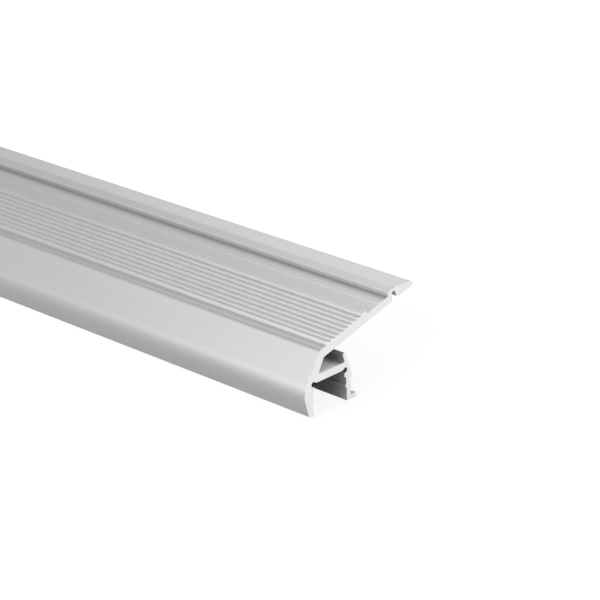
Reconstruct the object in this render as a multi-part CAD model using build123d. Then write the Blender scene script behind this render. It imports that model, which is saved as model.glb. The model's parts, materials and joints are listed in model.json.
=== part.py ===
from build123d import *
import math
import os

# Stair nosing with a channel for a light strip: one aluminium extrusion.
# X runs along the stock, Y from the nose to the back, Z up from the floor it stands on.
# The section is drawn from the middle of the channel at floor level, and then centred.

# Stock length
length = 1000.0

# Edge of the step that the profile covers, where its tread and its riser would meet
tread_angle = 15.0
edge_y = 7.15
edge_z = 21.4

# Tread plate, heights measured square to its underside
plate_thickness = 2.7
band_height = 3.1
grip_height = 3.85
land_height = 4.1
groove_depth = 0.6
groove_pitch = 2.1
groove_count = 8
first_groove = -5.8
grip_front = -8.5
grip_back = 11.9
rib_flat = 0.1
rib_round = 0.2
flank_width = 0.75
flank_round = 0.3
shadow_line_depth = 0.2
grip_back_round = 0.25
drill_line = 17.55
drill_line_width = 0.32
drill_line_depth = 0.17

# Rear strip, which snaps off at a thin neck
plate_end = 24.15
snap_width = 1.9
neck_thickness = 0.95
strip_lip = 1.3
lip_lean = 20.0
lip_round = 0.15
strip_flat = 0.25
ramp_round = 1.5
strip_tip = 34.5
strip_slope = 18.2
strip_tip_round = 1.2
strip_heel_round = 1.2
small_round = 0.3

# Share of a width that rounds its end, just short of a half circle
full_round = 0.48

# Nose and front shell
nose_front = -10.8
nose_slope = 42.4
nose_wall = 2.9
nose_round = 1.8
front_depth = 21.8
knee_round = 7.8
bead_radius = 1.3

# Channel for the light strip and its cover
channel_depth = 11.15
seat_width = 12.2
notch_radius = 0.9
notch_gap = 0.45
notch_drop = 0.2
tooth_setback = 0.9
tooth_height = 1.7
tooth_round = 0.3
cover_groove = 0.8
cover_height = 2.2
ridge_radius = 0.8
ridge_setback = 0.35
skirt_setback = 0.15

# Web, back wall, foot and wire hollow
web_thickness = 2.6
wall_thickness = 1.85
shoulder_bottom = 7.5
shoulder_top = 8.9
shoulder_gap = 0.1
stub_lean = 19.5
stub_thickness = 1.3
stub_top = 17.1
foot_thickness = 1.6
foot_round = 0.5
hollow_front = -5.2
hollow_round = 1.0
web_root_round = 0.5


def from_edge(u, v):
    """A point u along the tread and v above its underside, from the step's edge."""
    angle = math.radians(tread_angle)
    y = edge_y + u * math.cos(angle) - v * math.sin(angle)
    z = edge_z + u * math.sin(angle) + v * math.cos(angle)
    return y, z


def riser_y(z):
    """Where the step's riser stands at height z."""
    return edge_y + (edge_z - z) * math.tan(math.radians(tread_angle))


def front_y(z):
    """Where the upright front face stands at height z, parallel to the riser."""
    return riser_y(z) - front_depth / math.cos(math.radians(tread_angle))


def slope_height(u):
    """Height of the nose's slope at u, above the underside of the tread."""
    return band_height + (u - nose_front) * math.tan(math.radians(nose_slope))


def slope_under_tread():
    """Where the inside of the nose meets the underside of the tread."""
    tilt = math.radians(nose_slope)
    return nose_front + (nose_wall / math.cos(tilt) - band_height) / math.tan(tilt)


def shoulder_y(z):
    """The back of the wall's shoulder at height z, just clear of the riser."""
    return riser_y(z) - shoulder_gap


def stub_y(z, inset=0.0):
    """The leaning back of the wall above its shoulder, or a line set inside it."""
    lean = math.radians(stub_lean)
    return shoulder_y(shoulder_top) - (z - shoulder_top) * math.tan(lean) - inset / math.cos(lean)


def outline(corners):
    """A closed face from (point, radius) corners, with round corners as arcs."""
    points = [point for point, radius in corners]
    radii = [radius for point, radius in corners]
    return make_face(FilletPolyline(*points, radius=radii, close=True))


def tooth_y():
    """Half of the channel's mouth, between the edges of its teeth."""
    return seat_width / 2 + tooth_setback


def cover_y():
    """Half of the width that the cover takes, behind the teeth."""
    return tooth_y() + cover_groove


def skirt_y():
    """Half of the width between the channel's sides, below its ridges."""
    return cover_y() + skirt_setback


def wall_y():
    """The back of the back wall, below its shoulder."""
    return skirt_y() + wall_thickness


def shell_and_wall():
    """Nose, front shell, web and back wall, still solid below the web."""
    web_top = channel_depth + web_thickness
    tip_round = stub_thickness * full_round
    return outline([
        (from_edge(nose_front, band_height), nose_round),
        (from_edge(-front_depth, slope_height(-front_depth)), knee_round),
        ((front_y(bead_radius), bead_radius), 0),
        ((0, bead_radius), 0),
        ((0, 0), 0),
        ((wall_y(), 0), 0),
        ((wall_y(), shoulder_bottom), small_round),
        ((shoulder_y(shoulder_bottom), shoulder_bottom + small_round), small_round / 2),
        ((shoulder_y(shoulder_top), shoulder_top), small_round),
        ((stub_y(stub_top), stub_top), tip_round),
        ((stub_y(stub_top, stub_thickness), stub_top), tip_round),
        ((stub_y(web_top, stub_thickness), web_top), web_root_round),
        ((hollow_front, web_top), web_root_round),
        (from_edge(slope_under_tread(), 0), hollow_round),
        (from_edge(grip_front, 0), 0),
        (from_edge(grip_front, band_height), 0),
    ])


def channel_side():
    """Half of the channel's hollow: skirt and ridge, cover groove, tooth, and notch by the seat."""
    notch_y = seat_width / 2 + notch_gap + notch_radius
    notch_z = channel_depth - notch_drop
    notch_mouth = notch_radius * math.sin(math.radians(45))
    tooth_top = notch_z - notch_radius
    tooth_bottom = tooth_top - tooth_height
    ridge_y = tooth_y() + ridge_setback + ridge_radius
    ridge_z = tooth_bottom - cover_height - ridge_radius
    side = outline([
        ((0, -bead_radius), 0),
        ((skirt_y(), -bead_radius), 0),
        ((skirt_y(), ridge_z), 0),
        ((cover_y(), ridge_z), 0),
        ((cover_y(), tooth_bottom), tooth_round),
        ((tooth_y(), tooth_bottom), tooth_round),
        ((tooth_y(), tooth_top), tooth_round),
        ((notch_y, tooth_top), 0),
        ((notch_y, notch_z), 0),
        ((notch_y - notch_mouth, notch_z + notch_mouth), 0),
        ((seat_width / 2, channel_depth), 0),
        ((0, channel_depth), 0),
    ])
    side += Pos(notch_y, notch_z) * Circle(notch_radius)
    return side - Pos(ridge_y, ridge_z) * Circle(ridge_radius)


def channel():
    """The whole hollow, the same on both sides of its middle."""
    return channel_side() + mirror(channel_side(), about=Plane.YZ)


def front_bead():
    """The round bead along the bottom of the front shell."""
    reach = bead_radius / math.cos(math.radians(tread_angle))
    return Pos(front_y(bead_radius) + reach, bead_radius) * Circle(bead_radius)


def foot():
    """The short foot behind the back wall, as far out as the riser."""
    front = wall_y() - wall_thickness / 2
    back = riser_y(foot_thickness)
    return outline([
        ((front, 0), 0),
        ((back, 0), foot_round),
        ((back, foot_thickness), foot_round),
        ((front, foot_thickness), 0),
    ])


def groove_place(number):
    """The middle of a grip groove, counted from the front."""
    return first_groove + number * groove_pitch


def neck_roof():
    """Height of the roof of the slot under the neck."""
    return land_height - neck_thickness


def neck_round():
    """The radius of the round roof of the slot under the neck."""
    return snap_width * full_round


def tread_plate():
    """The plate over the step, with the front half of the thin neck at its back."""
    front = grip_front - plate_thickness / 4
    rib_front = groove_place(0) - groove_pitch / 2 - rib_flat
    last_groove = groove_place(groove_count - 1)
    lip_top = plate_end - strip_lip
    lip_foot = lip_top - (land_height - plate_thickness) * math.tan(math.radians(lip_lean))
    return outline([
        (from_edge(front, 0), 0),
        (from_edge(plate_end, 0), small_round),
        (from_edge(plate_end, neck_roof()), neck_round()),
        (from_edge(plate_end + snap_width / 2, neck_roof()), 0),
        (from_edge(plate_end + snap_width / 2, land_height), 0),
        (from_edge(lip_top, land_height), lip_round),
        (from_edge(lip_foot, plate_thickness), lip_round),
        (from_edge(grip_back, plate_thickness), small_round),
        (from_edge(grip_back, land_height), grip_back_round),
        (from_edge(last_groove, land_height), 0),
        (from_edge(last_groove, grip_height), 0),
        (from_edge(rib_front, grip_height), rib_round),
        (from_edge(rib_front - flank_width, band_height), flank_round),
        (from_edge(grip_front, band_height - shadow_line_depth), 0),
        (from_edge(grip_front, band_height), 0),
        (from_edge(front, band_height), 0),
    ])


def rib_arc(u, reach):
    """An arc from halfway up the side of a groove to the round top of the rib beside it."""
    rise = groove_depth / 2
    bulge = math.hypot(rise, reach) / 2 * math.tan(math.atan2(rise, abs(reach)) / 2)
    top = from_edge(u + reach, grip_height)
    return SagittaArc(from_edge(u, grip_height - rise), top, math.copysign(bulge, reach))


def last_flank(u):
    """The straight side of the last groove, from halfway up the ribs to the higher land."""
    rise = groove_depth / 2
    slope = 2 * math.atan2(rise, groove_pitch / 4)
    reach = (land_height - grip_height + rise) / math.tan(slope)
    return Line(from_edge(u, grip_height - rise), from_edge(u + reach, land_height))


def grip_groove(number):
    """One round groove, with round ribs beside it."""
    u = groove_place(number)
    quarter = groove_pitch / 4
    sag = groove_depth / 2
    middle = grip_height - sag
    last = number == groove_count - 1
    left = rib_arc(u - quarter, -quarter)
    floor = SagittaArc(from_edge(u - quarter, middle), from_edge(u + quarter, middle), -sag)
    right = last_flank(u + quarter) if last else rib_arc(u + quarter, quarter)
    over = Polyline(right @ 1, from_edge(u, land_height + groove_depth), left @ 1)
    return make_face([left, floor, right, *over.edges()])


def drill_mark():
    """The fine line that guides a drill."""
    half = drill_line_width / 2
    return make_face(Polyline(
        from_edge(drill_line - half, plate_thickness),
        from_edge(drill_line, plate_thickness - drill_line_depth),
        from_edge(drill_line + half, plate_thickness),
        close=True,
    ))


def rear_strip():
    """The strip behind the neck, ramped down to the floor behind it."""
    snap_end = plate_end + snap_width
    ramp = snap_end + strip_flat
    fall = (strip_tip - ramp) * math.tan(math.radians(strip_slope))
    neck_middle = plate_end + snap_width / 2
    return outline([
        (from_edge(neck_middle, neck_roof()), 0),
        (from_edge(snap_end, neck_roof()), neck_round()),
        (from_edge(snap_end, 0), strip_heel_round),
        (from_edge(strip_tip, 0), small_round),
        (from_edge(strip_tip, land_height - fall), strip_tip_round),
        (from_edge(ramp, land_height), ramp_round),
        (from_edge(neck_middle, land_height), 0),
    ])


def section():
    """The whole section, cut and joined from its limbs."""
    face = shell_and_wall() - channel()
    face += front_bead() + foot() + tread_plate() + rear_strip()
    for number in range(groove_count):
        face -= grip_groove(number)
    return face - drill_mark()


def stair_profile():
    """The section drawn out to its length, centred over the floor it stands on."""
    face = section()
    box = face.bounding_box()
    centred = Pos(-(box.min.X + box.max.X) / 2, -box.min.Y) * face
    return extrude(Plane.YZ * centred, length / 2, both=True)


os.makedirs("parts", exist_ok=True)
export_step(stair_profile(), "parts/stair_profile.step")
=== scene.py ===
import json
import math
from collections import namedtuple

import bmesh
import bpy
from mathutils import Matrix, Vector


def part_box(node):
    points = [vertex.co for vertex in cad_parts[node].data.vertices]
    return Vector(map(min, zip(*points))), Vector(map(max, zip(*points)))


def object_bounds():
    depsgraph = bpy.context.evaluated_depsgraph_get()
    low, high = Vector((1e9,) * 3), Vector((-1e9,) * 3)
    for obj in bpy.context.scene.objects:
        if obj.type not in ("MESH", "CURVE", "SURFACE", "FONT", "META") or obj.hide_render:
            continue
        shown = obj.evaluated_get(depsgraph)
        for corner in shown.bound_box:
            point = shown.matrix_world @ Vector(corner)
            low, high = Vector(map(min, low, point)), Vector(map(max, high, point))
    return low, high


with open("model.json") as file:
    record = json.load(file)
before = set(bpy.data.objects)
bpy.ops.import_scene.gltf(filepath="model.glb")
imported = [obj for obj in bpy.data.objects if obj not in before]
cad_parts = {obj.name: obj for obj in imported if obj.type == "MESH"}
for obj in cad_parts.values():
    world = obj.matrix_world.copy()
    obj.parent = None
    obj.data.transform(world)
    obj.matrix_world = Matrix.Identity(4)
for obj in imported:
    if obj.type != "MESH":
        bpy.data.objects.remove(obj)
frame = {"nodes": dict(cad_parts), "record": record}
cad_low, cad_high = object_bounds()


# The profile is one aluminium extrusion, pressed through a die, satin anodised and sawn to length.
# Its drawn faces carry fine lines along the stock, and its sawn ends are bare, bright metal.
profile = frame["nodes"]["stair_profile"]
end_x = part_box("stair_profile")[1].x

# How far in from an end the metal counts as sawn
saw_skin = 0.00002

satin_dark = (0.344, 0.344, 0.344, 1)
satin_light = (0.384, 0.384, 0.384, 1)
sawn_dark = (0.72, 0.72, 0.72, 1)
sawn_light = (0.79, 0.79, 0.79, 1)

# Cells of the grain to the metre, along X, Y and Z
drawn_cells = (3.0, 900.0, 900.0)
fine_cells = (12.0, 3500.0, 3500.0)
cloud_cells = (14.0, 60.0, 60.0)
speckle_cells = (1500.0, 1500.0, 1500.0)
grain_detail = 3.0

# How much of the satin's colour and of its relief comes from the drawn lines
drawn_colour_share = 0.55
drawn_relief_share = 0.6

relief_strength = 0.12
relief_depth = 0.00005
satin_roughness = 0.46
drawn_roughness = 0.10
sawn_roughness = 0.12
sawn_matt = 0.45
web_matt = 0.5

# A stripe along the stock: its middle, how far it reaches to each side, and how far it is full
Stripe = namedtuple("Stripe", "middle reach full")

# Stripes on the tread plate, measured back from the mount on its underside
plate_mount = next(mount for mount in frame["record"]["mounts"] if mount["name"] == "tread_underside")
plate_point = Vector(plate_mount["pos_m"])
plate_down = Vector(plate_mount["axis"])
plate_back = Vector((0, -plate_down.z, plate_down.y))
lip_edge = Stripe(0.0106, 0.0006, 0.0002)
recess_corner = Stripe(0.00955, 0.0022, 0.0)
drill_line = Stripe(0.00555, 0.0003, 0.00015)
grip_ribs = Stripe(-0.0105, 0.0090, 0.0085)
shadow_line = Stripe(-0.02078, 0.00085, 0.0)
front_band = Stripe(-0.0217, 0.0015, 0.0009)

# Heights on the tread plate, square to its underside
plain_top = Stripe(0.0027, 0.0011, 0.0004)
rib_top = Stripe(0.0041, 0.0009, 0.0003)
lip_top = Stripe(0.0041, 0.0009, 0.0)

# The wire hollow between the web and the plate: Y from front to back, and Z up
hollow_y = Stripe(-0.01362, 0.0066, 0.00655)
hollow_z = Stripe(0.0156, 0.0030, 0.0020)
web_y = Stripe(-0.0190, 0.0120, 0.0065)
web_z = Stripe(0.01375, 0.0006, 0.0003)
stub_z = Stripe(0.0190, 0.0022, 0.0014)

# The inside of the light channel, where light is painted
channel_y = Stripe(-0.01446, 0.0081, 0.0080)
channel_z = Stripe(0.0060, 0.0068, 0.0066)

# The foot of the front, which stands in the profile's own shade, painted darker here
front_back_y = -0.0222
foot_z = Stripe(0.0, 0.0080, 0.001)

# Painted light and shade: how much darker or lighter than plain satin the colour is painted at each
# place
# Painted shade in the recess corner in front of the strip
recess_painted_shade = -0.28
# Painted shade along the shadow line at the foot of the ribs
shadow_line_painted_shade = -0.12
# Painted shade on the band in front of the ribs
front_band_painted_shade = -0.05
# Painted shade at the foot of the front
foot_painted_shade = -0.07
# Painted highlight along the drill line
drill_line_painted_highlight = 0.12
# Painted highlight on the tops of the ribs
rib_top_painted_highlight = 0.06
# Painted highlight on the lip's edge
lip_edge_painted_highlight = 0.16
# Painted light inside the wire hollow: its walls, the stub at its top, and the web
hollow_wall_painted_light = 0.5
hollow_stub_painted_light = 0.6
hollow_web_painted_light = 1.4
# Painted light inside the light channel
channel_painted_light = 0.36


class Wire:
    """One socket of a material. Arithmetic on wires adds the Math nodes."""

    def __init__(self, tree, socket=None):
        self.tree = tree
        self.socket = socket

    def node(self, kind, settings, inputs, output=0):
        """Adds a node: first its settings, then the values or links of its sockets."""
        made = self.tree.nodes.new(kind)
        for name, value in settings.items():
            setattr(made, name, value)
        for name, value in inputs.items():
            if isinstance(value, Wire):
                self.tree.links.new(value.socket, made.inputs[name])
            else:
                made.inputs[name].default_value = value
        return Wire(self.tree, made.outputs[output] if made.outputs else None)

    def math(self, operation, first, second=0.0, **settings):
        return self.node("ShaderNodeMath", {"operation": operation, **settings}, {0: first, 1: second})

    def blend(self, first, second):
        """A colour between two, where this wire is 0 to 1."""
        return self.node("ShaderNodeMix", {"data_type": "RGBA"}, {0: self, 6: first, 7: second}, 2)

    def __add__(self, other):
        return self.math("ADD", self, other)

    def __sub__(self, other):
        return self.math("SUBTRACT", self, other)

    def __rsub__(self, other):
        return self.math("SUBTRACT", other, self)

    def __mul__(self, other):
        return self.math("MULTIPLY", self, other)

    def __gt__(self, other):
        return self.math("GREATER_THAN", self, other)

    def __abs__(self):
        return self.math("ABSOLUTE", self)

    __radd__ = __add__
    __rmul__ = __mul__


def new_material(name):
    """An empty material, and a wire to build its nodes with."""
    material = bpy.data.materials.new(name)
    material.use_nodes = True
    material.node_tree.nodes.clear()
    return material, Wire(material.node_tree)


def grain(wire, place, cells):
    """Noise on the object's own coordinates."""
    scaled = wire.node("ShaderNodeVectorMath", {"operation": "MULTIPLY"}, {0: place, 1: cells})
    return wire.node("ShaderNodeTexNoise", {}, {"Vector": scaled, "Scale": 1.0, "Detail": grain_detail})


def near(distance, stripe):
    """1 where a stripe is full, fading to 0 at its reach."""
    return distance.node("ShaderNodeMapRange", {"interpolation_type": "SMOOTHSTEP"}, {
        "Value": abs(distance - stripe.middle), "From Min": stripe.reach, "From Max": stripe.full})


def axis(wire, place, letter):
    """One of a place's three coordinates."""
    return wire.node("ShaderNodeSeparateXYZ", {}, {0: place}, letter)


def along(wire, place, origin, direction):
    """How far a place lies from an origin, along a direction."""
    offset = wire.node("ShaderNodeVectorMath", {"operation": "SUBTRACT"}, {0: place, 1: origin})
    settings = {"operation": "DOT_PRODUCT"}
    return wire.node("ShaderNodeVectorMath", settings, {0: offset, 1: direction}, "Value")


def wire_hollow(wire, place):
    """Masks of the wire hollow: all its walls, the leaning stub at its top, and the web, its floor."""
    between = near(axis(wire, place, "Y"), hollow_y)
    height = axis(wire, place, "Z")
    walls = between * near(height, hollow_z)
    stub = walls * near(height, stub_z)
    web = between * near(height, web_z) * near(axis(wire, place, "Y"), web_y)
    return walls, stub, web


def painted_light_and_shade(wire, place, walls, stub, web):
    """1 on plain satin, with painted shade in corners and at the foot, and painted light on edges, in
    the hollow and the channel.
    """
    back = along(wire, place, plate_point, plate_back)
    up = along(wire, place, plate_point, -plate_down)
    depth = axis(wire, place, "Y")
    height = axis(wire, place, "Z")
    top = near(up, plain_top)
    painted_marks = [
        (recess_painted_shade, top * near(back, recess_corner)),
        (shadow_line_painted_shade, top * near(back, shadow_line)),
        (front_band_painted_shade, top * near(back, front_band)),
        (drill_line_painted_highlight, top * near(back, drill_line)),
        (rib_top_painted_highlight, near(up, rib_top) * near(back, grip_ribs)),
        (lip_edge_painted_highlight, near(up, lip_top) * near(back, lip_edge)),
        (foot_painted_shade, near(height, foot_z) * (1 - (depth > front_back_y))),
        (channel_painted_light, near(depth, channel_y) * near(height, channel_z)),
        (hollow_wall_painted_light, walls),
        (hollow_stub_painted_light, stub),
        (hollow_web_painted_light, web),
    ]
    return sum((tone * mask for tone, mask in painted_marks), start=1.0)


def anodised_aluminium():
    """Satin anodising with drawn lines along X and painted light and shade, and bright sawn metal on
    both ends.
    """
    material, wire = new_material("anodised_aluminium")
    place = wire.node("ShaderNodeTexCoord", {}, {}, "Object")
    sawn = abs(axis(wire, place, "X")) > end_x - saw_skin
    drawn = grain(wire, place, drawn_cells)
    fine = grain(wire, place, fine_cells)
    cloud = grain(wire, place, cloud_cells)
    speckle = grain(wire, place, speckle_cells)
    mottle = drawn_colour_share * drawn + (1 - drawn_colour_share) * cloud
    plain_satin = mottle.blend(satin_dark, satin_light)
    walls, stub, web = wire_hollow(wire, place)
    # The satin colour, painted darker for shade and lighter for light
    satin = wire.node("ShaderNodeVectorMath", {"operation": "SCALE"}, {
        0: plain_satin, "Scale": painted_light_and_shade(wire, place, walls, stub, web)})
    bare = speckle.blend(sawn_dark, sawn_light)
    relief = drawn_relief_share * drawn + (1 - drawn_relief_share) * fine
    bump = wire.node("ShaderNodeBump", {}, {
        "Strength": relief_strength, "Distance": relief_depth, "Height": relief})
    shader = wire.node("ShaderNodeBsdfPrincipled", {}, {
        "Base Color": sawn.blend(satin, bare),
        "Metallic": 1.0 - sawn_matt * sawn - web_matt * web * (1 - sawn),
        "Roughness": satin_roughness + drawn_roughness * drawn + sawn_roughness * sawn,
        "Normal": bump,
    })
    wire.node("ShaderNodeOutputMaterial", {}, {"Surface": shader})
    return material


profile.data.materials.clear()
profile.data.materials.append(anodised_aluminium())


# The floor is a plain pale sheet, white to the camera but for the profile's own soft shadow.
# It reaches far past the stock on all sides, and lies just clear of the bead and the foot.
floor_size = 8.0
floor_drop = 0.0002
floor_colour = (0.8, 0.8, 0.8, 1)
white = (1, 1, 1, 1)
shadow_share = 0.10
channel_shade_y = Stripe(-0.0140, 0.0125, 0.0095)


def under_channel(wire):
    """1 on the floor below the light channel, where the profile keeps the light out, fading to 0."""
    place = wire.node("ShaderNodeTexCoord", {}, {}, "Object")
    past_end = abs(axis(wire, place, "X")) > end_x
    return near(axis(wire, place, "Y"), channel_shade_y) * (1 - past_end)


def seen_white(wire):
    """1 where the floor shows white: to the camera, and, where unshaded, to metal and glass."""
    camera_ray, glossy_ray, glass_ray = [
        wire.node("ShaderNodeLightPath", {}, {}, name)
        for name in ("Is Camera Ray", "Is Glossy Ray", "Is Transmission Ray")]
    reflected = (glossy_ray + glass_ray) * (1 - under_channel(wire))
    return wire.math("ADD", camera_ray, reflected, use_clamp=True)


def floor_material():
    """White to the camera and to metal, with a share of the lit floor kept for its shadow."""
    material, wire = new_material("pale_floor")
    lit = wire.node("ShaderNodeBsdfDiffuse", {}, {"Color": floor_colour})
    glow = wire.node("ShaderNodeEmission", {}, {"Color": white, "Strength": 1.0})
    share = (1 - shadow_share) * seen_white(wire)
    kept = wire.node("ShaderNodeMixShader", {}, {0: share, 1: lit, 2: glow})
    wire.node("ShaderNodeOutputMaterial", {}, {"Surface": kept})
    return material


floor_mesh = bmesh.new()
bmesh.ops.create_grid(floor_mesh, x_segments=1, y_segments=1, size=floor_size / 2)
bmesh.ops.translate(floor_mesh, verts=floor_mesh.verts, vec=(0, 0, cad_low.z - floor_drop))
floor_data = bpy.data.meshes.new("floor")
floor_mesh.to_mesh(floor_data)
floor_mesh.free()
floor = bpy.data.objects.new("floor", floor_data)
bpy.context.scene.collection.objects.link(floor)
floor.data.materials.append(floor_material())


# The light is a pale studio: an even white surround, a wide soft lamp low at the front by the cut
# end, and a second one higher at the back and further along, so that the drawn faces take soft bands.
world_strength = 1.0
lamp_target = Vector((end_x - 0.08, 0, 0.02))


def pale_studio():
    """A white surround, the same on all sides."""
    world = bpy.data.worlds.new("pale_studio")
    world.use_nodes = True
    world.node_tree.nodes.clear()
    wire = Wire(world.node_tree)
    light = wire.node("ShaderNodeBackground", {}, {"Color": white, "Strength": world_strength})
    wire.node("ShaderNodeOutputWorld", {}, {"Surface": light})
    return world


def soft_lamp(name, place, size, power):
    """A square area lamp, placed in metres from the foot of the cut end and turned to the profile."""
    data = bpy.data.lights.new(name, "AREA")
    data.size = size
    data.energy = power
    lamp = bpy.data.objects.new(name, data)
    lamp.location = Vector((end_x, 0, 0)) + Vector(place)
    lamp.rotation_euler = (lamp_target - lamp.location).to_track_quat("-Z", "Y").to_euler()
    bpy.context.scene.collection.objects.link(lamp)


bpy.context.scene.world = pale_studio()
soft_lamp("front_lamp", place=(-0.05, -0.80, 0.30), size=0.7, power=10.3)
soft_lamp("back_lamp", place=(-0.30, 0.60, 0.75), size=0.8, power=4.2)


# The camera looks down on the cut end from the front and the right, through a long lens.
# Its place is given from a point in the plane of the cut end, by azimuth and elevation.
view_azimuth = math.radians(44.25)
view_elevation = math.radians(22.70)
view_roll = math.radians(-1.43)
view_distance = 0.7439
view_point = Vector((end_x, -0.02703, 0.0416))
lens = 144.2
sensor = 36.0
nearest_seen = 0.01

view_level = math.cos(view_elevation)
view_back = Vector((
    math.sin(view_azimuth) * view_level,
    -math.cos(view_azimuth) * view_level,
    math.sin(view_elevation),
))
camera_data = bpy.data.cameras.new("camera")
camera_data.lens = lens
camera_data.sensor_width = sensor
camera_data.clip_start = nearest_seen
camera = bpy.data.objects.new("camera", camera_data)
camera_place = Matrix.Translation(view_point + view_back * view_distance)
camera_turn = view_back.to_track_quat("Z", "Y").to_matrix().to_4x4()
camera.matrix_world = camera_place @ camera_turn @ Matrix.Rotation(view_roll, 4, "Z")
bpy.context.scene.collection.objects.link(camera)
bpy.context.scene.camera = camera
bpy.context.scene.view_settings.view_transform = "Standard"
